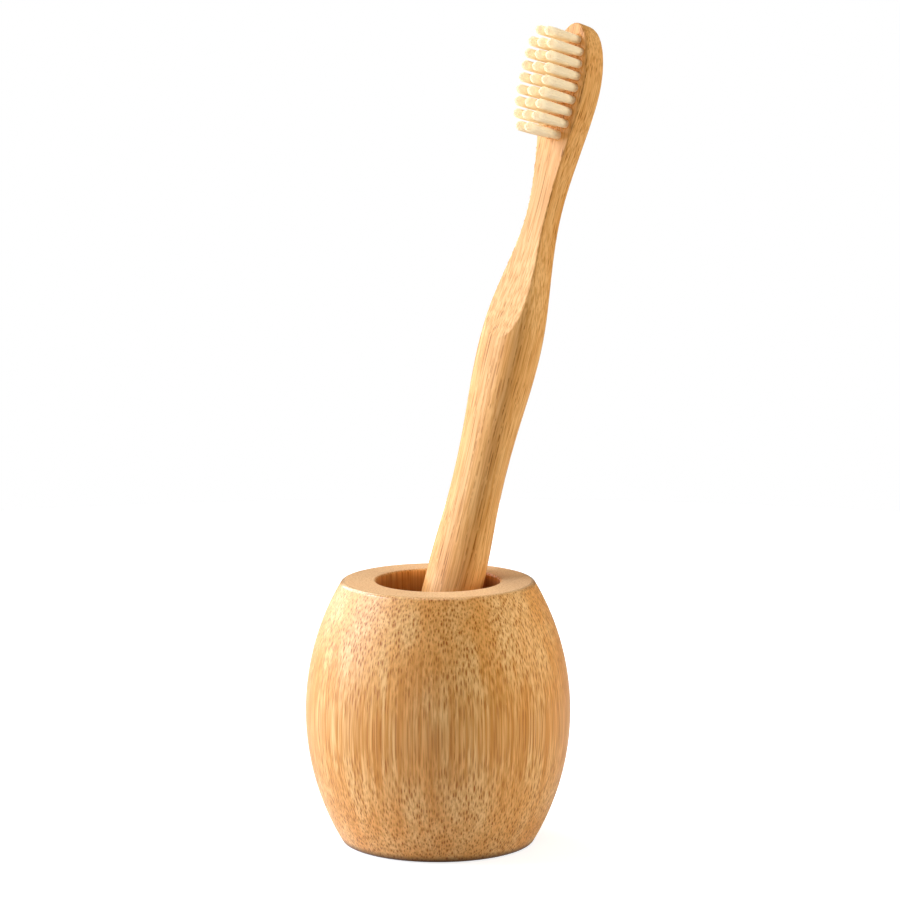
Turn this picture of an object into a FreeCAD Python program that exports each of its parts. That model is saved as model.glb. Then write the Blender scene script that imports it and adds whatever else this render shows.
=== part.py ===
# Toothbrush holder: a turned bamboo barrel with a blind bore, and the bamboo
# toothbrush that stands in the bore and leans on its lip.
# Millimetres, +Z up, origin at the centre of the barrel's base. The toothbrush is
# built upright in its own frame (butt at zero, head up, bristles towards -Y) and
# then leaned into the bore.

import FreeCAD, Part
import math
import os

# Shared by every cut
overrun = 2.0

# Barrel
barrel_height = 64.0
belly_diameter = 64.0
rim_diameter = 46.2
bore_diameter = 30.0
bore_depth = 50.0
base_edge_round = 1.0
rim_edge_round = 1.4
bore_lip_round = 0.6
bore_floor_bevel = 1.0

# Handle: how far along it, from butt to tip, its sections and its facet lie
heel_share = 0.127
seat_share = 0.2753
waist_start_share = 0.3547
waist_end_share = 0.4235
swell_share = 0.5135
grip_share = 0.5929
throat_share = 0.6617
nape_share = 0.72
neck_share = 0.7729
collar_share = 0.8338
head_share = 0.9052
facet_low_share = 0.7665
facet_shoulder_share = 0.581

# Handle: places along it are measured from the butt, front and back from its axis
handle_length = 188.9
butt_dome_length = 5.0
butt_width = 14.0
butt_thickness = 10.9
heel_at = heel_share * handle_length
heel_width = 14.9
heel_thickness = 11.7
seat_at = seat_share * handle_length
seat_width = 15.7
seat_thickness = 12.15
waist_start_at = waist_start_share * handle_length
waist_end_at = waist_end_share * handle_length
waist_width = 12.55
waist_thickness = 9.85
swell_at = swell_share * handle_length
swell_width = 14.9
swell_thickness = 11.65
grip_at = grip_share * handle_length
grip_width = 15.6
grip_thickness = 12.1
throat_at = throat_share * handle_length
throat_width = 11.5
throat_thickness = 11.1
nape_at = nape_share * handle_length
nape_width = 7.5
nape_thickness = 9.1
neck_at = neck_share * handle_length
neck_width = 7.2
neck_thickness = 8.7
collar_at = collar_share * handle_length
collar_width = 10.0
collar_thickness = 9.1
head_at = head_share * handle_length
head_width = 13.7
head_thickness = 9.3

# Facet planed on the front: lowest at the neck, an arc up to the grip, and a flat
# that tips the head forward
facet_low_at = facet_low_share * handle_length
facet_low_front = 1.94
facet_shoulder_at = facet_shoulder_share * handle_length
facet_tilt = 2.3

# Section shape: 2 is an ellipse, larger is boxier
butt_squareness = 2.2
grip_squareness = 2.7
neck_squareness = 4.5
tip_plan_fullness = 0.8
tip_back_fullness = 0.72
ring_count = 16
dome_angles = (0, 30, 58, 78, 88.5)

# Bristle tufts: rows are counted from the tip, the outer columns lie on an ellipse
row_count = 9
row_pitch = 2.96
first_row_from_tip = 4.2
field_half_width = 3.95
field_half_length = 15.5
pair_share = 0.62
hole_diameter = 1.9
hole_depth = 3.6
tuft_fit = 0.04
tuft_length = 10.9
tuft_diameter = 2.5
tuft_crown = 0.6

# Anchor strip that pins each tuft's folded middle into its hole
anchor_thickness = 0.3
anchor_height = 1.4
anchor_bite = 0.12
anchor_lift = 0.45
anchor_turn = 35.0

# How the toothbrush stands in the bore
foot_azimuth = 195.0
lip_azimuth = 58.5
facing_turn = -46.0
foot_clearance = 0.62
lip_clearance = 0.22
floor_clearance = 0.22


def vector(x, y, z):
    return FreeCAD.Vector(x, y, z)


def line(start, end):
    return Part.LineSegment(start, end).toShape()


def arc(start, middle, end):
    return Part.Arc(start, middle, end).toShape()


def turned(edges):
    """The solid swept by a closed outline, drawn in the XZ plane, about the Z axis."""
    return Part.Face(Part.Wire(edges)).revolve(vector(0, 0, 0), vector(0, 0, 1), 360)


# Barrel
def make_barrel():
    """One turned piece: belly arc from foot to rim, rounded edges, and a flat-bottomed bore."""
    half_height = barrel_height / 2
    bulge = (belly_diameter - rim_diameter) / 2
    belly_radius = (half_height ** 2 + bulge ** 2) / (2 * bulge)
    belly_centre = vector(belly_diameter / 2 - belly_radius, 0, half_height)

    def edge_round(radius, up):
        """Start on the belly, middle and end on the flat of a round between belly and end face."""
        run = half_height - radius
        centre = belly_centre + vector(math.sqrt((belly_radius - radius) ** 2 - run ** 2), 0, up * run)
        out = (centre - belly_centre).normalize()
        middle = (out + vector(0, 0, up)).normalize()
        return centre + out * radius, centre + middle * radius, centre + vector(0, 0, up * radius)

    base_start, base_middle, base_end = edge_round(base_edge_round, -1)
    rim_start, rim_middle, rim_end = edge_round(rim_edge_round, 1)
    bore_radius = bore_diameter / 2
    floor_height = barrel_height - bore_depth
    lip_centre = vector(bore_radius + bore_lip_round, 0, barrel_height - bore_lip_round)
    lip_start = lip_centre + vector(0, 0, bore_lip_round)
    lip_middle = lip_centre + vector(-1, 0, 1).normalize() * bore_lip_round
    lip_end = lip_centre - vector(bore_lip_round, 0, 0)
    wall_end = vector(bore_radius, 0, floor_height + bore_floor_bevel)
    floor_start = vector(bore_radius - bore_floor_bevel, 0, floor_height)
    floor_middle = vector(0, 0, floor_height)
    foot_middle = vector(0, 0, 0)
    return turned([
        line(foot_middle, base_end),
        arc(base_end, base_middle, base_start),
        arc(base_start, vector(belly_diameter / 2, 0, half_height), rim_start),
        arc(rim_start, rim_middle, rim_end),
        line(rim_end, lip_start),
        arc(lip_start, lip_middle, lip_end),
        line(lip_end, wall_end),
        line(wall_end, floor_start),
        line(floor_start, floor_middle),
        line(floor_middle, foot_middle),
    ])


# Handle
def ring_points(along, width, front, back, squareness):
    """Points of a superellipse across the handle, with its own depth to the front and the back."""
    points = []
    for step in range(ring_count):
        turn = 2 * math.pi * (step + 1 / 2) / ring_count
        across = math.copysign(abs(math.cos(turn)) ** (2 / squareness), math.cos(turn))
        deep = math.copysign(abs(math.sin(turn)) ** (2 / squareness), math.sin(turn))
        depth = back if deep > 0 else front
        points.append(vector(width / 2 * across, depth * deep, along))
    return points


def handle_rings():
    """Rings from butt to tip: the butt closes as a dome, the tip rounds off towards the back."""
    rings = []
    for angle in reversed(dome_angles):
        shrink = math.cos(math.radians(angle))
        along = butt_dome_length * (1 - math.sin(math.radians(angle)))
        half = butt_thickness / 2 * shrink
        rings.append((along, butt_width * shrink, half, half, butt_squareness))
    stations = (
        (heel_at, heel_width, heel_thickness, butt_squareness),
        (seat_at, seat_width, seat_thickness, butt_squareness),
        (waist_start_at, waist_width, waist_thickness, butt_squareness),
        (waist_end_at, waist_width, waist_thickness, butt_squareness),
        (swell_at, swell_width, swell_thickness, grip_squareness),
        (grip_at, grip_width, grip_thickness, grip_squareness),
        (throat_at, throat_width, throat_thickness, grip_squareness),
        (nape_at, nape_width, nape_thickness, neck_squareness),
        (neck_at, neck_width, neck_thickness, neck_squareness),
        (collar_at, collar_width, collar_thickness, neck_squareness),
    )
    for along, width, thickness, squareness in stations:
        rings.append((along, width, thickness / 2, thickness / 2, squareness))
    for angle in dome_angles:
        shrink = math.cos(math.radians(angle))
        along = head_at + (handle_length - head_at) * math.sin(math.radians(angle))
        half = head_thickness / 2
        width = head_width * shrink ** tip_plan_fullness
        rings.append((along, width, half, half * shrink ** tip_back_fullness, neck_squareness))
    return rings


def pull_out(before, here, after):
    """The control point that makes a smooth surface pass through the point it is given for."""
    return here + (here * 2 - before - after) / 6


def make_skin():
    """The handle as one smooth closed surface through its rings, with a tiny flat at each end."""
    rings = []
    for ring in handle_rings():
        points = ring_points(*ring)
        rings.append([pull_out(points[i - 1], points[i], points[(i + 1) % ring_count])
                      for i in range(ring_count)])
    poles = []
    for i in range(ring_count):
        run = [ring[i] for ring in rings]
        inner = [pull_out(*run[j - 1:j + 2]) for j in range(1, len(run) - 1)]
        poles.append([run[0], *inner, run[-1]])
    spans = len(rings) - 3
    skin = Part.BSplineSurface()
    skin.buildFromPolesMultsKnots(
        poles,
        [1] * (ring_count + 1), [4] + [1] * (spans - 1) + [4],
        [i / ring_count for i in range(ring_count + 1)], [j / spans for j in range(spans + 1)],
        True, False, 3, 3)
    ends = [Part.Face(Part.Wire([skin.vIso(end).toShape()])) for end in (0, 1)]
    shell = Part.Shell([skin.toShape(), *ends])
    shell.sewShape()
    solid = Part.Solid(shell)
    if solid.Volume < 0:
        solid.reverse()
    return solid


def facet_arc_radius():
    climb = grip_thickness / 2 - facet_low_front
    run = facet_low_at - facet_shoulder_at
    return (run ** 2 + climb ** 2) / (2 * climb)


def on_facet_arc(turn):
    """Point of the facet's arc: turn zero is its lowest place, positive turns lead towards the tip."""
    radius = facet_arc_radius()
    front = facet_low_front + radius * (1 - math.cos(turn))
    return vector(0, -front, facet_low_at + radius * math.sin(turn))


def facet_place():
    """Frame of the flat part of the facet: -Y looks out of it, Z runs along it to the tip."""
    tilt = math.radians(facet_tilt)
    return FreeCAD.Placement(on_facet_arc(tilt), FreeCAD.Rotation(vector(1, 0, 0), facet_tilt))


def facet_cutter():
    """What is planed off the front of the blank."""
    tilt = math.radians(facet_tilt)
    shoulder_turn = -math.asin((facet_low_at - facet_shoulder_at) / facet_arc_radius())
    start_turn = shoulder_turn - overrun / (facet_low_at - facet_shoulder_at)
    start = on_facet_arc(start_turn)
    flat_start = on_facet_arc(tilt)
    flat_end = facet_place().multVec(vector(0, 0, handle_length + overrun - flat_start.z))
    outside = min(start.y, flat_end.y) - overrun
    profile = Part.Wire([
        arc(start, on_facet_arc((start_turn + tilt) / 2), flat_start),
        line(flat_start, flat_end),
        line(flat_end, vector(0, outside, flat_end.z)),
        line(vector(0, outside, flat_end.z), vector(0, outside, start.z)),
        line(vector(0, outside, start.z), start),
    ])
    half_span = max(grip_width, head_width) / 2 + overrun
    cutter = Part.Face(profile).extrude(vector(2 * half_span, 0, 0))
    cutter.translate(vector(-half_span, 0, 0))
    return cutter


def make_handle():
    return make_skin().cut(facet_cutter())


# Bristle tufts and their anchors, built in the frame of the facet
def tuft_places():
    """Node name, offset across the head and place along the facet of each tuft."""
    facet_length = (handle_length - facet_place().Base.z) / math.cos(math.radians(facet_tilt))
    first = facet_length - first_row_from_tip
    field_centre = first - (row_count - 1) / 2 * row_pitch
    places = []
    for row in range(row_count):
        along = first - row * row_pitch
        outer = field_half_width * math.sqrt(1 - ((along - field_centre) / field_half_length) ** 2)
        offsets = {"left": -outer, "middle": 0, "right": outer}
        if row in (0, row_count - 1):
            offsets = {"left": -outer * pair_share, "right": outer * pair_share}
        for side, offset in offsets.items():
            places.append((f"tuft_row{row + 1}_{side}", offset, along))
    return places


def make_hole(offset, along):
    start = vector(offset, hole_depth, along)
    return Part.makeCylinder(hole_diameter / 2, hole_depth + overrun, start, vector(0, -1, 0))


def make_anchor(offset, along):
    width = hole_diameter + 2 * anchor_bite
    strip = Part.makeBox(width, anchor_height, anchor_thickness)
    strip.translate(vector(-width / 2, -anchor_height, -anchor_thickness / 2))
    strip.rotate(vector(0, 0, 0), vector(0, 1, 0), anchor_turn)
    strip.translate(vector(offset, hole_depth - anchor_lift, along))
    return strip


def make_tuft(offset, along):
    """A bundle that fills its hole, swells where it leaves the facet and ends in a bevelled crown."""
    root_radius = hole_diameter / 2 - tuft_fit
    radius = tuft_diameter / 2
    corners = [
        vector(0, 0, -hole_depth),
        vector(root_radius, 0, -hole_depth),
        vector(root_radius, 0, 0),
        vector(radius, 0, 0),
        vector(radius, 0, tuft_length - tuft_crown),
        vector(radius - tuft_crown, 0, tuft_length),
        vector(0, 0, tuft_length),
    ]
    bundle = turned([line(a, b) for a, b in zip(corners, [*corners[1:], corners[0]])])
    bundle.rotate(vector(0, 0, 0), vector(1, 0, 0), 90)
    bundle.translate(vector(offset, 0, along))
    return bundle.cut(make_anchor(offset, along))


# Standing pose
def reach(azimuth, width, thickness):
    """How far a section near the butt reaches from the handle's axis towards an azimuth."""
    turn = math.radians(azimuth - facing_turn)
    power = butt_squareness / (butt_squareness - 1)
    across = (width / 2 * abs(math.cos(turn))) ** power
    deep = (thickness / 2 * abs(math.sin(turn))) ** power
    return (across + deep) ** (1 / power)


def axis_point(azimuth, width, thickness, clearance, lean):
    """Where the handle's axis passes when its side stands off the bore wall at that azimuth."""
    offset = bore_diameter / 2 - clearance - reach(azimuth, width, thickness) / math.cos(lean)
    turn = math.radians(azimuth)
    return vector(offset * math.cos(turn), offset * math.sin(turn), 0)


def standing_place(handle):
    """Leans the upright toothbrush from the foot of the bore to its lip, clear of wall and floor."""
    floor_height = barrel_height - bore_depth
    lean = 0
    for _ in range(4):
        foot = axis_point(foot_azimuth, butt_width, butt_thickness, foot_clearance, lean)
        lip = axis_point(lip_azimuth, seat_width, seat_thickness, lip_clearance, lean)
        axis = lip - foot + vector(0, 0, bore_depth)
        lean = axis.getAngle(vector(0, 0, 1))
    facing = FreeCAD.Rotation(vector(0, 0, 1), facing_turn)
    turn = FreeCAD.Rotation(vector(0, 0, 1), axis).multiply(facing)
    trial = handle.copy()
    trial.Placement = FreeCAD.Placement(vector(0, 0, 0), turn)
    lift = floor_clearance - trial.BoundBox.ZMin
    start = foot + axis * (lift / bore_depth) + vector(0, 0, floor_height)
    return FreeCAD.Placement(start, turn)


def main():
    os.makedirs("parts", exist_ok=True)
    handle = make_handle()
    on_facet = facet_place()
    tufts = {}
    holes = []
    anchors = []
    for name, offset, along in tuft_places():
        holes.append(make_hole(offset, along))
        anchors.append(make_anchor(offset, along))
        tufts[name] = make_tuft(offset, along)
    for shape in [*holes, *anchors, *tufts.values()]:
        shape.Placement = on_facet.multiply(shape.Placement)
    handle = handle.cut(holes + anchors)
    brush = {"toothbrush_handle": handle, "tuft_anchors": Part.makeCompound(anchors), **tufts}
    standing = standing_place(handle)
    for shape in brush.values():
        shape.Placement = standing.multiply(shape.Placement)
    for name, shape in {"holder_barrel": make_barrel(), **brush}.items():
        shape.exportStep(f"parts/{name}.step")


main()
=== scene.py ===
# Looks of the bamboo toothbrush holder and the toothbrush that stands in it.
# The frame gives the solids in metres; this script adds bamboo, filaments, floor, light and camera.

import math
import bmesh
import bpy
from mathutils import Euler, Matrix, Vector
from mathutils.bvhtree import BVHTree
from mathutils.interpolate import poly_3d_calc


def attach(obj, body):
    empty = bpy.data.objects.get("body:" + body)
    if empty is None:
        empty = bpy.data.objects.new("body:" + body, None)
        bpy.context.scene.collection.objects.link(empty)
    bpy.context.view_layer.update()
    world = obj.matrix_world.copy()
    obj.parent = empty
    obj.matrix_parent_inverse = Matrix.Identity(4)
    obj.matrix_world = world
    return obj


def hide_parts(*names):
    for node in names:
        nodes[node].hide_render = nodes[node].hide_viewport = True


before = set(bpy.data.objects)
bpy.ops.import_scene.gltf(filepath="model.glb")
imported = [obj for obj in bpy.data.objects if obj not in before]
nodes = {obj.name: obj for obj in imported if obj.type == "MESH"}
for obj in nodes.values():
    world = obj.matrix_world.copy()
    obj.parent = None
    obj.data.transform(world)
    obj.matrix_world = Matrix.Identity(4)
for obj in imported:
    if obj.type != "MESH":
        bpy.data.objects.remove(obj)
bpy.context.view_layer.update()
scene = bpy.context.scene


def rgb(red, green, blue):
    return (red, green, blue, 1)


# Camera, at the photograph's viewing angle
camera_target = Vector((0.002888, 0, 0.09564))
camera_distance = 0.9585
camera_elevation = math.radians(8.78)
camera_lens = 160
camera_sensor = 36

# How the toothbrush stands: sideways run of its axis per unit of height, its foot, and its turn
brush_lean = Vector((0.2419, 0.1817, 1))
brush_foot = Vector((-0.0078, -0.0021, 0.0143))
brush_turn = math.radians(-46)

# Bamboo of both pieces: noise cells per metre across and along the fibres, and the relief
drift_cells = (45, 45, 26)
fibre_cells = (2600, 2600, 60)
band_cells = (190, 190, 45)
bundle_randomness = 0.85
bundle_cells_apart = 2000
relief_strength = 0.35
relief_fibre_share = 0.4

# Barrel: its fibre bundles and stripes
barrel_bundle_pitch = 0.0006
barrel_bundle_width_share = 0.32
barrel_drift = 0.0014
barrel_breaks_per_metre = 70
barrel_stripes_around = (62, 62, 0)
barrel_stripe_cells = (62, 62, 24)
barrel_relief = 0.00012
barrel_shine = 0.42
barrel_sheen = 0.12
rim_polish_roughness = 0.16

# Barrel: where its look changes
belly_height = 0.032
belly_band = 0.013
belly_band_fade = 0.008
belly_band_wave = 0.04
rim_height = 0.064
rim_polish_from = 0.0185
rim_polish_to = 0.0195
bore_radius = 0.015
bore_edge_fade = 0.0004
bore_shade_fade = 0.0025
foot_shade_height = 0.0022

# Barrel: its colours
barrel_ground_deep = rgb(0.93, 0.45, 0.127)
barrel_ground_pale = rgb(1.0, 0.61, 0.24)
barrel_end_grain = rgb(0.93, 0.58, 0.255)
barrel_streak = rgb(0.66, 0.25, 0.03)
barrel_fibre = rgb(0.59, 0.245, 0.032)
barrel_sheath = rgb(0.63, 0.26, 0.035)
barrel_pore = rgb(0.40, 0.09, 0.0)
bore_shade = rgb(0.42, 0.155, 0.02)
foot_shade = rgb(0.12, 0.045, 0.008)

# Handle: its fibre bundles and colours
handle_bundle_pitch = 0.00055
handle_bundle_width_share = 0.26
handle_drift = 0.0016
handle_breaks_per_metre = 560
handle_relief = 0.0001
handle_shine = 0.24
handle_ground_deep = rgb(0.82, 0.405, 0.118)
handle_ground_pale = rgb(0.92, 0.525, 0.19)
handle_fibre = rgb(0.60, 0.25, 0.045)
handle_sheath = rgb(0.60, 0.25, 0.035)
handle_pore = rgb(0.34, 0.11, 0.008)

# Handle: how finely its sanded edges are rounded, and which turns of the skin count as an edge
sanding_grid = 0.00036
sanding_passes = 8
sanding_share = 0.5
weld_distance = sanding_grid / 100
edge_turn_from = math.radians(6)
edge_turn_to = math.radians(14)

# Handle: its waist, a little fuller than the solid's, as a place along the handle and a reach either way
waist_at = 0.0725
waist_reach = 0.0125
waist_fullness_share = 0.115

# Bristles: bundles of filaments that stand a little past the crowns of the tuft solids
bristle_length = 0.0109
bristle_reach = 0.0006
bristle_root_depth = 0.0016
tuft_root_radius = 0.00106
tuft_tip_radius = 0.00134
tuft_crown = 0.0012
crown_slice = 0.00012
direction_rounds = 50
filament_radius = 0.0002
filaments_per_tuft = 120
filament_sides = 6
filament_rings = 5
filament_jitter_share = 0.03
tip_ring_power = 4
tip_thinning_power = 6
tip_thinning_share = 0.88
golden_turn = math.pi * (3 - math.sqrt(5))
bristle_seed = 7

# Nylon: its colours, and a faint glow that stands for the light it passes on from filament to filament
nylon_root = rgb(0.92, 0.75, 0.48)
nylon_tip = rgb(0.88, 0.76, 0.54)
nylon_mottle = rgb(0.93, 0.80, 0.58)
nylon_root_shade = rgb(0.66, 0.36, 0.12)
nylon_glow_root = rgb(0.46, 0.33, 0.17)
nylon_glow_tip = rgb(1, 0.84, 0.58)
nylon_carried_light = 0.3
nylon_shine = 0.3
nylon_mottle_per_metre = 900

# Brass of the anchors
brass_deep = rgb(0.56, 0.38, 0.13)
brass_pale = rgb(0.76, 0.56, 0.24)
brass_marks_per_metre = 2500

# Floor
floor_radius = 0.5
floor_corners = 96
floor_drop = 0.0001
floor_glow = 0.76
floor_roughness = 0.9
floor_tooth_per_metre = 400
floor_deep = rgb(0.58, 0.58, 0.58)
floor_pale = rgb(0.62, 0.62, 0.62)
white = rgb(1, 1, 1)

# Surroundings: what they give as light, and what the camera sees
surround_light = 0.04
surround_seen = 1.0

# Soft lights, each on the side of the object that its direction names
light_aim = Vector((0, 0, 0.09))
softboxes = {
    "key_left": dict(towards=(-1, 0, 0.44), distance=1.0, width=0.5, height=0.9, power=12.0,
                     tint=(0.95, 1.01, 1.22), mirrored=True),
    "front": dict(towards=(-0.42, -1, 0.06), distance=1.2, width=0.6, height=0.6, power=2.9,
                  tint=(1, 0.94, 0.83), mirrored=True),
    "back_left": dict(towards=(-0.75, 0.66, 0.45), distance=1.0, width=0.8, height=0.9, power=9.0,
                      tint=(1, 0.98, 0.95), mirrored=True),
    "fill_right": dict(towards=(1, -0.02, 0.24), distance=1.0, width=0.5, height=0.7, power=7.9,
                       tint=(1, 0.97, 0.93), mirrored=False),
    "top": dict(towards=(0, 0, 1), distance=1.2, width=0.8, height=0.8, power=2.9,
                tint=(1, 0.98, 0.95), mirrored=True),
}


# Node helpers
def add_node(tree, kind, inputs=None, **settings):
    """A node with its settings, and its inputs set by name or index from values or other sockets."""
    made = tree.nodes.new(kind)
    for name, value in settings.items():
        setattr(made, name, value)
    for key, value in (inputs or {}).items():
        if isinstance(value, bpy.types.NodeSocket):
            tree.links.new(value, made.inputs[key])
        else:
            made.inputs[key].default_value = value
    return made


def add_math(tree, operation, *values):
    return add_node(tree, "ShaderNodeMath", dict(enumerate(values)), operation=operation).outputs[0]


def add_vector_math(tree, operation, *values):
    made = add_node(tree, "ShaderNodeVectorMath", dict(enumerate(values)), operation=operation)
    return made.outputs[0]


def scale_vector(tree, vector, scale):
    made = add_node(tree, "ShaderNodeVectorMath", {0: vector, "Scale": scale}, operation="SCALE")
    return made.outputs[0]


def vector_length(tree, vector):
    return add_node(tree, "ShaderNodeVectorMath", {0: vector}, operation="LENGTH").outputs["Value"]


def split_vector(tree, vector):
    return add_node(tree, "ShaderNodeSeparateXYZ", {0: vector}).outputs


def join_vector(tree, **parts):
    return add_node(tree, "ShaderNodeCombineXYZ", parts).outputs[0]


def add_noise(tree, vector, scale, detail):
    return add_node(tree, "ShaderNodeTexNoise", {"Vector": vector, "Scale": scale, "Detail": detail}).outputs


def smooth_range(tree, value, low, high):
    """0 at low and 1 at high, with an eased slope between them."""
    inputs = {"Value": value, "From Min": low, "From Max": high}
    return add_node(tree, "ShaderNodeMapRange", inputs, interpolation_type="SMOOTHSTEP").outputs["Result"]


def blend_colour(tree, share, first, second):
    inputs = {"Factor": share, 6: first, 7: second}
    return add_node(tree, "ShaderNodeMix", inputs, data_type="RGBA").outputs[2]


def start_material(name):
    material = bpy.data.materials.new(name)
    material.use_nodes = True
    tree = material.node_tree
    return material, tree, tree.nodes["Principled BSDF"]


def object_position(tree):
    return tree.nodes.new("ShaderNodeTexCoord").outputs["Object"]


# Bamboo
def make_bamboo_group():
    """Straight fibre bundles along Z that show as dots, flecks or streaks where a surface cuts them."""
    tree = bpy.data.node_groups.new("bamboo_grain", "ShaderNodeTree")
    for name, kind in (("Position", "Vector"), ("Bundle Pitch", "Float"), ("Bundle Width", "Float"),
                       ("Drift", "Float"), ("Breaks", "Float")):
        tree.interface.new_socket(name, in_out="INPUT", socket_type=f"NodeSocket{kind}")
    for name in ("Bundles", "Pores", "Fibres", "Bands"):
        tree.interface.new_socket(name, in_out="OUTPUT", socket_type="NodeSocketFloat")
    given = tree.nodes.new("NodeGroupInput").outputs
    result = tree.nodes.new("NodeGroupOutput").inputs

    # The bundles wander a little from a straight line
    wander = add_noise(tree, add_vector_math(tree, "MULTIPLY", given["Position"], drift_cells), 1, 1)
    centred = add_vector_math(tree, "SUBTRACT", wander["Color"], (0.5, 0.5, 0.5))
    place = add_vector_math(tree, "ADD", given["Position"], scale_vector(tree, centred, given["Drift"]))

    # Each bundle has its own strength and width, and breaks off along its run
    per_metre = add_math(tree, "DIVIDE", 1, given["Bundle Pitch"])
    cells = add_node(tree, "ShaderNodeTexVoronoi",
                     {"Vector": place, "Scale": per_metre, "Randomness": bundle_randomness},
                     voronoi_dimensions="2D").outputs
    own = add_node(tree, "ShaderNodeSeparateColor", {0: cells["Color"]}).outputs
    middle = split_vector(tree, cells["Position"])
    height = split_vector(tree, given["Position"])["Z"]
    run = join_vector(tree, X=add_math(tree, "MULTIPLY", middle["X"], bundle_cells_apart),
                      Y=add_math(tree, "MULTIPLY", middle["Y"], bundle_cells_apart),
                      Z=add_math(tree, "MULTIPLY", height, given["Breaks"]))
    unbroken = smooth_range(tree, add_noise(tree, run, 1, 0)["Fac"], 0.28, 0.48)
    strength = add_math(tree, "MULTIPLY", add_math(tree, "MULTIPLY_ADD", own["Red"], 0.5, 0.5), unbroken)
    own_width = add_math(tree, "MULTIPLY_ADD", own["Green"], 0.9, 0.5)
    width = add_math(tree, "MULTIPLY", given["Bundle Width"], own_width)
    sheath = smooth_range(tree, cells["Distance"], add_math(tree, "MULTIPLY", width, 1.9), width)
    pore = smooth_range(tree, cells["Distance"], width, add_math(tree, "MULTIPLY", width, 0.45))
    tree.links.new(add_math(tree, "MULTIPLY", sheath, strength), result["Bundles"])
    tree.links.new(add_math(tree, "MULTIPLY", pore, strength), result["Pores"])

    fine = add_vector_math(tree, "MULTIPLY", place, fibre_cells)
    tree.links.new(add_noise(tree, fine, 1, 2)["Fac"], result["Fibres"])
    broad = add_vector_math(tree, "MULTIPLY", place, band_cells)
    tree.links.new(add_noise(tree, broad, 1, 2)["Fac"], result["Bands"])
    return tree


def add_grain(tree, position, pitch, width, drift, breaks):
    inputs = {"Position": position, "Bundle Pitch": pitch, "Bundle Width": width, "Drift": drift,
              "Breaks": breaks}
    return add_node(tree, "ShaderNodeGroup", inputs, node_tree=bamboo_group).outputs


def finish_bamboo(tree, shader, grain, colour, roughness, relief, shine):
    """Joins the bamboo's colour and roughness to its shader, with open pores sunk below the fibres."""
    tree.links.new(colour, shader.inputs["Base Color"])
    tree.links.new(roughness, shader.inputs["Roughness"])
    shader.inputs["Specular IOR Level"].default_value = shine
    raised = add_math(tree, "MULTIPLY", grain["Fibres"], relief_fibre_share)
    height = add_math(tree, "SUBTRACT", raised, grain["Pores"])
    bump = add_node(tree, "ShaderNodeBump",
                    {"Height": height, "Distance": relief, "Strength": relief_strength})
    tree.links.new(bump.outputs["Normal"], shader.inputs["Normal"])


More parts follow.
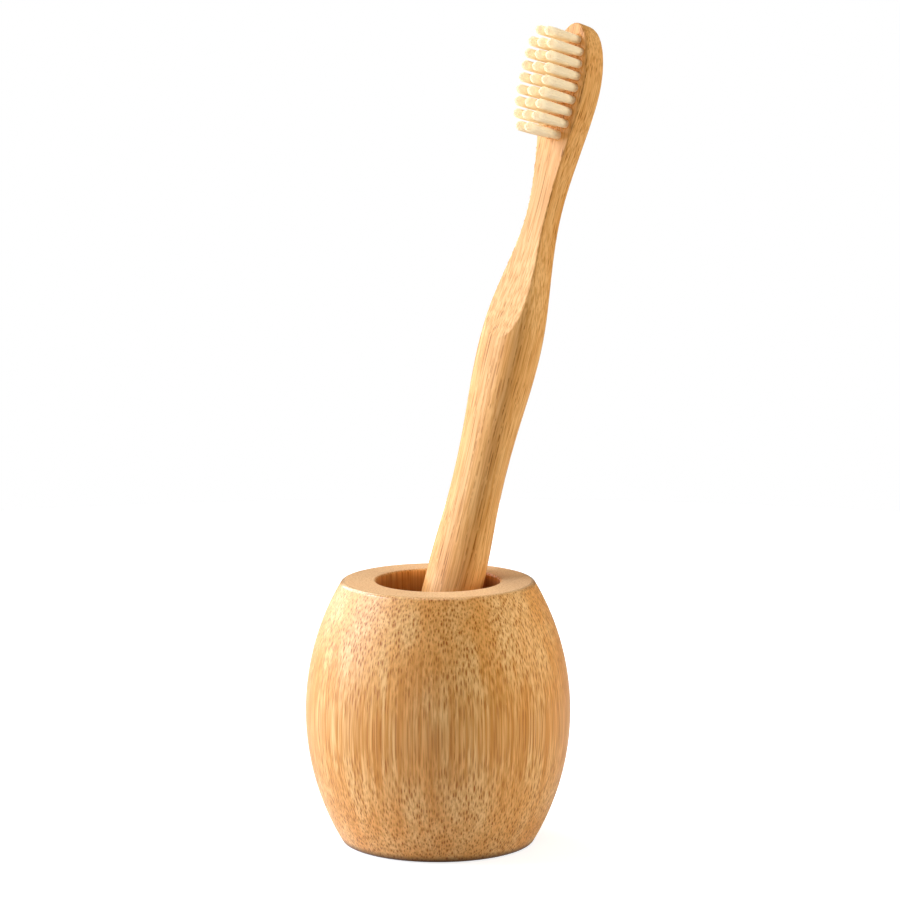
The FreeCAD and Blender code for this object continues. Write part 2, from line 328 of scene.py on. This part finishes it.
def make_barrel_bamboo():
    """Turned bamboo: dots towards the rim and the foot, long stripes round the belly, paler end grain."""
    material, tree, shader = start_material("barrel_bamboo_turned")
    position = object_position(tree)
    grain = add_grain(tree, position, barrel_bundle_pitch, barrel_bundle_width_share, barrel_drift,
                      barrel_breaks_per_metre)

    # Stripes that mostly follow the way round, so that they run long where the belly is upright
    flat = add_vector_math(tree, "MULTIPLY", position, (1, 1, 0))
    around = add_vector_math(tree, "NORMALIZE", flat)
    spread = add_vector_math(tree, "MULTIPLY_ADD", around, barrel_stripes_around,
                             add_vector_math(tree, "MULTIPLY", position, barrel_stripe_cells))
    stripes = add_noise(tree, spread, 1, 2)["Fac"]
    height = split_vector(tree, position)["Z"]
    off_belly = add_math(tree, "ABSOLUTE", add_math(tree, "SUBTRACT", height, belly_height))
    wave = add_math(tree, "SUBTRACT", grain["Bands"], 0.5)
    ragged = add_math(tree, "MULTIPLY_ADD", wave, belly_band_wave, off_belly)
    in_belly = smooth_range(tree, ragged, belly_band + belly_band_fade, belly_band - belly_band_fade)

    facing = tree.nodes.new("ShaderNodeNewGeometry").outputs["Normal"]
    upward = add_math(tree, "ABSOLUTE", split_vector(tree, facing)["Z"])
    end_grain = smooth_range(tree, upward, 0.75, 0.97)
    side_grain = add_math(tree, "SUBTRACT", 1, end_grain)

    ground = blend_colour(tree, smooth_range(tree, grain["Bands"], 0.3, 0.7),
                          barrel_ground_deep, barrel_ground_pale)
    ground = blend_colour(tree, add_math(tree, "MULTIPLY", end_grain, 0.8), ground, barrel_end_grain)
    streak = add_math(tree, "MULTIPLY", smooth_range(tree, stripes, 0.40, 0.62), in_belly)
    ground = blend_colour(tree, add_math(tree, "MULTIPLY", streak, 0.8), ground, barrel_streak)
    fibre = add_math(tree, "MULTIPLY", smooth_range(tree, grain["Fibres"], 0.40, 0.64), 0.58)
    ground = blend_colour(tree, fibre, ground, barrel_fibre)
    sheath_shown = add_math(tree, "MULTIPLY_ADD", side_grain, 0.5, 0.12)
    sheath = add_math(tree, "MULTIPLY", grain["Bundles"], sheath_shown)
    ground = blend_colour(tree, sheath, ground, barrel_sheath)
    pore_shown = add_math(tree, "MULTIPLY_ADD", side_grain, 0.92, 0.06)
    pore = add_math(tree, "MULTIPLY", grain["Pores"], pore_shown)
    pore = add_math(tree, "MULTIPLY", pore, add_math(tree, "MULTIPLY_ADD", in_belly, -0.45, 1))
    colour = blend_colour(tree, pore, ground, barrel_pore)

    off_axis = vector_length(tree, flat)
    within_wall = smooth_range(tree, off_axis, bore_radius + bore_edge_fade, bore_radius)
    below_rim = smooth_range(tree, height, rim_height, rim_height - bore_shade_fade)
    in_bore = add_math(tree, "MULTIPLY", within_wall, below_rim)
    colour = blend_colour(tree, add_math(tree, "MULTIPLY", in_bore, 0.62), colour, bore_shade)
    foot = add_math(tree, "MULTIPLY", smooth_range(tree, height, foot_shade_height, 0), 0.95)
    colour = blend_colour(tree, foot, colour, foot_shade)
    roughness = add_math(tree, "MULTIPLY_ADD", grain["Fibres"], 0.14, 0.36)
    finish_bamboo(tree, shader, grain, colour, roughness, barrel_relief, barrel_shine)

    # The rounded edge of the rim is polished
    sloping = add_math(tree, "MULTIPLY", smooth_range(tree, upward, 0.5, 0.62),
                       smooth_range(tree, upward, 0.999, 0.97))
    polish = add_math(tree, "MULTIPLY", sloping, smooth_range(tree, off_axis, rim_polish_from, rim_polish_to))
    tree.links.new(polish, shader.inputs["Coat Weight"])
    shader.inputs["Coat Roughness"].default_value = rim_polish_roughness
    shader.inputs["Sheen Weight"].default_value = barrel_sheen
    return material


def brush_rotation():
    """Turns the upright toothbrush into its lean, as the solids were turned."""
    lean = Vector((0, 0, 1)).rotation_difference(brush_lean.normalized())
    return lean.to_matrix() @ Matrix.Rotation(brush_turn, 3, "Z")


def make_handle_bamboo():
    """Planed and sanded bamboo with its fibres along the handle."""
    material, tree, shader = start_material("handle_bamboo_planed")
    along = add_node(tree, "ShaderNodeMapping",
                     {"Vector": object_position(tree), "Location": brush_foot,
                      "Rotation": brush_rotation().to_euler()},
                     vector_type="TEXTURE").outputs["Vector"]
    grain = add_grain(tree, along, handle_bundle_pitch, handle_bundle_width_share, handle_drift,
                      handle_breaks_per_metre)
    ground = blend_colour(tree, smooth_range(tree, grain["Bands"], 0.3, 0.7),
                          handle_ground_deep, handle_ground_pale)
    fibre = add_math(tree, "MULTIPLY", smooth_range(tree, grain["Fibres"], 0.40, 0.62), 0.6)
    ground = blend_colour(tree, fibre, ground, handle_fibre)
    ground = blend_colour(tree, add_math(tree, "MULTIPLY", grain["Bundles"], 0.36), ground, handle_sheath)
    gathered = add_math(tree, "MULTIPLY_ADD", smooth_range(tree, grain["Bands"], 0.62, 0.38), 0.65, 0.35)
    pore = add_math(tree, "MULTIPLY", grain["Pores"], gathered)
    colour = blend_colour(tree, pore, ground, handle_pore)
    roughness = add_math(tree, "MULTIPLY_ADD", grain["Fibres"], 0.16, 0.36)
    finish_bamboo(tree, shader, grain, colour, roughness, handle_relief, handle_shine)
    return material


# Handle
def skin_normals(mesh, solid):
    """The solid's own smooth normals for a mesh laid over it, but the mesh's where an edge was sanded."""
    corners = [vertex.co for vertex in solid.vertices]
    faces = BVHTree.FromPolygons(corners, [face.vertices for face in solid.polygons])
    normals = []
    for point in mesh.vertices:
        spot, _, index, _ = faces.find_nearest(point.co)
        face = solid.polygons[index]
        shares = poly_3d_calc([corners[corner] for corner in face.vertices], spot)
        turned = [solid.corner_normals[loop].vector for loop in face.loop_indices]
        skin = sum((normal * share for normal, share in zip(turned, shares)), Vector())
        turn = skin.angle(point.normal, math.pi)
        sanded = min(max((turn - edge_turn_from) / (edge_turn_to - edge_turn_from), 0), 1)
        normals.append(skin.normalized().lerp(point.normal, sanded).normalized())
    return normals


def fill_waist(mesh):
    """Makes the handle fuller at its waist, and less so away from it."""
    axis = brush_lean.normalized()
    for point in mesh.vertices:
        from_foot = point.co - brush_foot
        along = from_foot.dot(axis)
        nearness = math.exp(-((along - waist_at) / waist_reach) ** 2)
        point.co += (from_foot - axis * along) * (waist_fullness_share * nearness)


def make_handle(bamboo):
    """The handle with its edges broken by sanding, as a copy of the solid on a fine grid."""
    solid = nodes["toothbrush_handle"].data
    rough = solid.copy()
    work = bmesh.new()
    work.from_mesh(rough)
    bmesh.ops.remove_doubles(work, verts=work.verts, dist=weld_distance)
    work.to_mesh(rough)
    work.free()
    blank = bpy.data.objects.new("handle_blank", rough)
    scene.collection.objects.link(blank)
    grid = blank.modifiers.new("grid", "REMESH")
    grid.mode = "VOXEL"
    grid.voxel_size = sanding_grid
    sanding = blank.modifiers.new("sanding", "SMOOTH")
    sanding.factor = sanding_share
    sanding.iterations = sanding_passes
    depsgraph = bpy.context.evaluated_depsgraph_get()
    sanded = bpy.data.meshes.new_from_object(blank.evaluated_get(depsgraph))
    bpy.data.objects.remove(blank)
    normals = skin_normals(sanded, solid)
    fill_waist(sanded)
    sanded.shade_smooth()
    sanded.normals_split_custom_set_from_vertices(normals)
    sanded.materials.clear()
    sanded.materials.append(bamboo)
    handle = bpy.data.objects.new("handle_sanded", sanded)
    scene.collection.objects.link(handle)
    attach(handle, "toothbrush")
    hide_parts("toothbrush_handle")


# Bristles and anchors
def make_bristle_nylon():
    """Cream nylon, warmer at the roots, with rounded tips that glow a little."""
    material, tree, shader = start_material("bristle_nylon_cream")
    along = add_node(tree, "ShaderNodeAttribute", attribute_name="along").outputs["Fac"]
    mottle = add_noise(tree, object_position(tree), nylon_mottle_per_metre, 1)["Fac"]
    ground = blend_colour(tree, along, nylon_root, nylon_tip)
    mottled = add_math(tree, "MULTIPLY", smooth_range(tree, mottle, 0.4, 0.7), 0.15)
    colour = blend_colour(tree, mottled, ground, nylon_mottle)
    root = add_math(tree, "MULTIPLY", smooth_range(tree, along, 0.3, 0.14), 0.2)
    colour = blend_colour(tree, root, colour, nylon_root_shade)
    tree.links.new(colour, shader.inputs["Base Color"])
    roughness = add_math(tree, "MULTIPLY_ADD", mottle, 0.2, 0.4)
    tree.links.new(roughness, shader.inputs["Roughness"])
    shader.inputs["Specular IOR Level"].default_value = nylon_shine
    glow = blend_colour(tree, smooth_range(tree, along, 0.8, 1), nylon_glow_root, nylon_glow_tip)
    tree.links.new(glow, shader.inputs["Emission Color"])
    shader.inputs["Emission Strength"].default_value = nylon_carried_light
    return material


def make_anchor_brass():
    material, tree, shader = start_material("anchor_brass_drawn")
    marks = add_noise(tree, object_position(tree), brass_marks_per_metre, 2)["Fac"]
    tree.links.new(blend_colour(tree, marks, brass_deep, brass_pale), shader.inputs["Base Color"])
    roughness = add_math(tree, "MULTIPLY_ADD", marks, 0.3, 0.2)
    tree.links.new(roughness, shader.inputs["Roughness"])
    shader.inputs["Metallic"].default_value = 1
    return material


def mean_point(points):
    return sum(points, Vector()) / len(points)


def node_points(name):
    return [vertex.co.copy() for vertex in nodes[name].data.vertices]


def tuft_crowns(names):
    """Where each tuft's axis meets its crown, and the direction that the tufts share."""
    tufts = {name: node_points(name) for name in names}
    spread = Matrix(((0, 0, 0), (0, 0, 0), (0, 0, 0)))
    for points in tufts.values():
        middle = mean_point(points)
        for point in points:
            offset = point - middle
            for row in range(3):
                for column in range(3):
                    spread[row][column] += offset[row] * offset[column]
    direction = (mean_point(tufts[names[0]]) - mean_point(node_points("tuft_anchors"))).normalized()
    for _ in range(direction_rounds):
        direction = (spread @ direction).normalized()
    crowns = []
    for points in tufts.values():
        highest = max(point.dot(direction) for point in points)
        crowns.append(mean_point([point for point in points if point.dot(direction) > highest - crown_slice]))
    return crowns, direction


def make_filament_tree():
    """Fills each point with a round bundle of flared filaments that ends in a dome."""
    tree = bpy.data.node_groups.new("filament_bundles", "GeometryNodeTree")
    sockets = (("Geometry", "Geometry"), ("Filaments", "Int"), ("Sides", "Int"), ("Rings", "Int"),
               ("Filament Radius", "Float"), ("Root Radius", "Float"), ("Tip Radius", "Float"),
               ("Length", "Float"), ("Crown", "Float"), ("Root Depth", "Float"), ("Golden Turn", "Float"),
               ("Seed", "Int"), ("Nylon", "Material"))
    for name, kind in sockets:
        tree.interface.new_socket(name, in_out="INPUT", socket_type=f"NodeSocket{kind}")
    tree.interface.new_socket("Geometry", in_out="OUTPUT", socket_type="NodeSocketGeometry")
    given = tree.nodes.new("NodeGroupInput").outputs
    result = tree.nodes.new("NodeGroupOutput").inputs

    # One upright filament of unit length and radius, with a rounded tip
    line = add_node(tree, "GeometryNodeCurvePrimitiveLine", {"Start": (0, 0, 0), "End": (0, 0, 1)})
    rings = add_node(tree, "GeometryNodeResampleCurve", {"Curve": line.outputs[0], "Count": given["Rings"]})
    factor = tree.nodes.new("GeometryNodeSplineParameter").outputs["Factor"]
    left = add_math(tree, "SUBTRACT", 1, factor)
    height = add_math(tree, "SUBTRACT", 1, add_math(tree, "POWER", left, tip_ring_power))
    upright = join_vector(tree, Z=height)
    placed = add_node(tree, "GeometryNodeSetPosition", {"Geometry": rings.outputs[0], "Position": upright})
    thinning = add_math(tree, "MULTIPLY", add_math(tree, "POWER", factor, tip_thinning_power),
                        tip_thinning_share)
    radius = add_math(tree, "SQRT", add_math(tree, "SUBTRACT", 1, thinning))
    rounded = add_node(tree, "GeometryNodeSetCurveRadius", {"Curve": placed.outputs[0], "Radius": radius})
    section = add_node(tree, "GeometryNodeCurvePrimitiveCircle", {"Resolution": given["Sides"], "Radius": 1})
    filament = add_node(tree, "GeometryNodeCurveToMesh",
                        {"Curve": rounded.outputs[0], "Profile Curve": section.outputs[0], "Scale": radius,
                         "Fill Caps": True})
    spot = tree.nodes.new("GeometryNodeInputPosition").outputs[0]
    along = split_vector(tree, spot)["Z"]
    marked = add_node(tree, "GeometryNodeStoreNamedAttribute",
                      {"Geometry": filament.outputs[0], "Name": "along", "Value": along},
                      data_type="FLOAT", domain="POINT")

    # Where each filament of a bundle starts and leans to
    points = add_node(tree, "GeometryNodeMeshToPoints", {"Mesh": given["Geometry"]})
    copies = add_node(tree, "GeometryNodeDuplicateElements",
                      {"Geometry": points.outputs[0], "Amount": given["Filaments"]}, domain="POINT")
    index = copies.outputs["Duplicate Index"]
    share = add_math(tree, "DIVIDE", add_math(tree, "ADD", index, 0.5), given["Filaments"])
    out = add_math(tree, "SQRT", share)
    turn = add_math(tree, "MULTIPLY", index, given["Golden Turn"])
    side = join_vector(tree, X=add_math(tree, "MULTIPLY", out, add_math(tree, "COSINE", turn)),
                       Y=add_math(tree, "MULTIPLY", out, add_math(tree, "SINE", turn)))
    jitter = add_node(tree, "FunctionNodeRandomValue",
                      {"Min": (-filament_jitter_share, -filament_jitter_share, 0),
                       "Max": (filament_jitter_share, filament_jitter_share, 0), "Seed": given["Seed"]},
                      data_type="FLOAT_VECTOR").outputs[0]
    root = scale_vector(tree, side, given["Root Radius"])
    tip = scale_vector(tree, add_vector_math(tree, "ADD", side, jitter), given["Tip Radius"])
    drop = add_math(tree, "MULTIPLY", share, given["Crown"])
    tip_height = join_vector(tree, Z=add_math(tree, "SUBTRACT", given["Length"], drop))
    sunk = join_vector(tree, Z=add_math(tree, "MULTIPLY", given["Root Depth"], -1))
    start = add_vector_math(tree, "ADD", root, sunk)
    end = add_vector_math(tree, "ADD", tip, tip_height)
    reach = add_vector_math(tree, "SUBTRACT", end, start)
    aim = add_node(tree, "FunctionNodeAlignRotationToVector", {"Vector": reach}, axis="Z")
    size = join_vector(tree, X=given["Filament Radius"], Y=given["Filament Radius"],
                       Z=vector_length(tree, reach))
    rooted = add_node(tree, "GeometryNodeSetPosition", {"Geometry": copies.outputs[0], "Offset": start})
    planted = add_node(tree, "GeometryNodeInstanceOnPoints",
                       {"Points": rooted.outputs[0], "Instance": marked.outputs[0],
                        "Rotation": aim.outputs[0], "Scale": size})
    smooth = add_node(tree, "GeometryNodeSetShadeSmooth", {"Geometry": planted.outputs[0]})
    real = add_node(tree, "GeometryNodeRealizeInstances", {"Geometry": smooth.outputs[0]})
    coated = add_node(tree, "GeometryNodeSetMaterial",
                      {"Geometry": real.outputs[0], "Material": given["Nylon"]})
    tree.links.new(coated.outputs[0], result["Geometry"])
    return tree


def make_bristles(nylon):
    """All the tufts of the head as one mesh of filaments, seated where the tuft solids are."""
    names = sorted(name for name in nodes if name.startswith("tuft_row"))
    crowns, outward = tuft_crowns(names)
    place = outward.to_track_quat("Z", "Y").to_matrix().to_4x4()
    back = place.inverted()
    seats = [back @ (crown - outward * bristle_length) for crown in crowns]
    mesh = bpy.data.meshes.new("tuft_seats")
    mesh.from_pydata(seats, [], [])
    seeded = bpy.data.objects.new("tuft_seats", mesh)
    scene.collection.objects.link(seeded)
    modifier = seeded.modifiers.new("filament_bundles", "NODES")
    modifier.node_group = make_filament_tree()
    values = {"Filaments": filaments_per_tuft, "Sides": filament_sides, "Rings": filament_rings,
              "Filament Radius": filament_radius, "Root Radius": tuft_root_radius - filament_radius,
              "Tip Radius": tuft_tip_radius - filament_radius, "Length": bristle_length + bristle_reach,
              "Crown": tuft_crown, "Root Depth": bristle_root_depth, "Golden Turn": golden_turn,
              "Seed": bristle_seed, "Nylon": nylon}
    for item in modifier.node_group.interface.items_tree:
        if item.name in values:
            modifier[item.identifier] = values[item.name]
    depsgraph = bpy.context.evaluated_depsgraph_get()
    grown = bpy.data.meshes.new_from_object(seeded.evaluated_get(depsgraph))
    bpy.data.objects.remove(seeded)
    grown.transform(place)
    bristles = bpy.data.objects.new("bristle_filaments", grown)
    scene.collection.objects.link(bristles)
    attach(bristles, "toothbrush")
    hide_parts(*names)


# Floor, light and camera
def make_floor():
    mesh = bpy.data.meshes.new("floor")
    turns = [2 * math.pi * step / floor_corners for step in range(floor_corners)]
    rim = [(floor_radius * math.cos(turn), floor_radius * math.sin(turn), 0) for turn in turns]
    mesh.from_pydata(rim, [], [range(floor_corners)])
    floor = bpy.data.objects.new("floor", mesh)
    floor.location.z = -floor_drop
    scene.collection.objects.link(floor)
    material, tree, shader = start_material("floor_paper")
    tooth = add_noise(tree, object_position(tree), floor_tooth_per_metre, 2)["Fac"]
    seen = tree.nodes.new("ShaderNodeLightPath").outputs["Is Camera Ray"]
    tree.links.new(blend_colour(tree, tooth, floor_deep, floor_pale), shader.inputs["Base Color"])
    tree.links.new(add_math(tree, "MULTIPLY", seen, floor_glow), shader.inputs["Emission Strength"])
    shader.inputs["Emission Color"].default_value = white
    shader.inputs["Roughness"].default_value = floor_roughness
    mesh.materials.append(material)


def add_softbox(name, towards, distance, width, height, power, tint, mirrored):
    """A soft light on the side that a direction from the object names, facing the object."""
    light = bpy.data.lights.new(name, "AREA")
    light.shape = "RECTANGLE"
    light.size = width
    light.size_y = height
    light.energy = power
    light.color = tint
    made = bpy.data.objects.new(name, light)
    direction = Vector(towards).normalized()
    made.location = light_aim + direction * distance
    made.rotation_euler = direction.to_track_quat("Z", "Y").to_euler()
    made.visible_glossy = mirrored
    scene.collection.objects.link(made)


def make_world():
    """Dim white surroundings that the camera sees as plain white."""
    world = bpy.data.worlds.new("studio")
    world.use_nodes = True
    tree = world.node_tree
    tree.nodes.clear()
    seen = tree.nodes.new("ShaderNodeLightPath").outputs["Is Camera Ray"]
    dim = add_node(tree, "ShaderNodeBackground", {"Color": white, "Strength": surround_light})
    bright = add_node(tree, "ShaderNodeBackground", {"Color": white, "Strength": surround_seen})
    both = add_node(tree, "ShaderNodeMixShader", {0: seen, 1: dim.outputs[0], 2: bright.outputs[0]})
    output = tree.nodes.new("ShaderNodeOutputWorld")
    tree.links.new(both.outputs[0], output.inputs["Surface"])
    scene.world = world


def make_camera():
    lens = bpy.data.cameras.new("camera")
    lens.lens = camera_lens
    lens.sensor_width = camera_sensor
    camera = bpy.data.objects.new("camera", lens)
    away = Vector((0, -math.cos(camera_elevation), math.sin(camera_elevation)))
    camera.location = camera_target + away * camera_distance
    camera.rotation_euler = Euler((math.pi / 2 - camera_elevation, 0, 0))
    scene.collection.objects.link(camera)
    scene.camera = camera


def dress(name, material):
    nodes[name].material_slots[0].material = material


bamboo_group = make_bamboo_group()
dress("holder_barrel", make_barrel_bamboo())
make_handle(make_handle_bamboo())
dress("tuft_anchors", make_anchor_brass())
make_bristles(make_bristle_nylon())
make_floor()
make_world()
for softbox, values in softboxes.items():
    add_softbox(softbox, **values)
make_camera()
scene.view_settings.view_transform = "Standard"
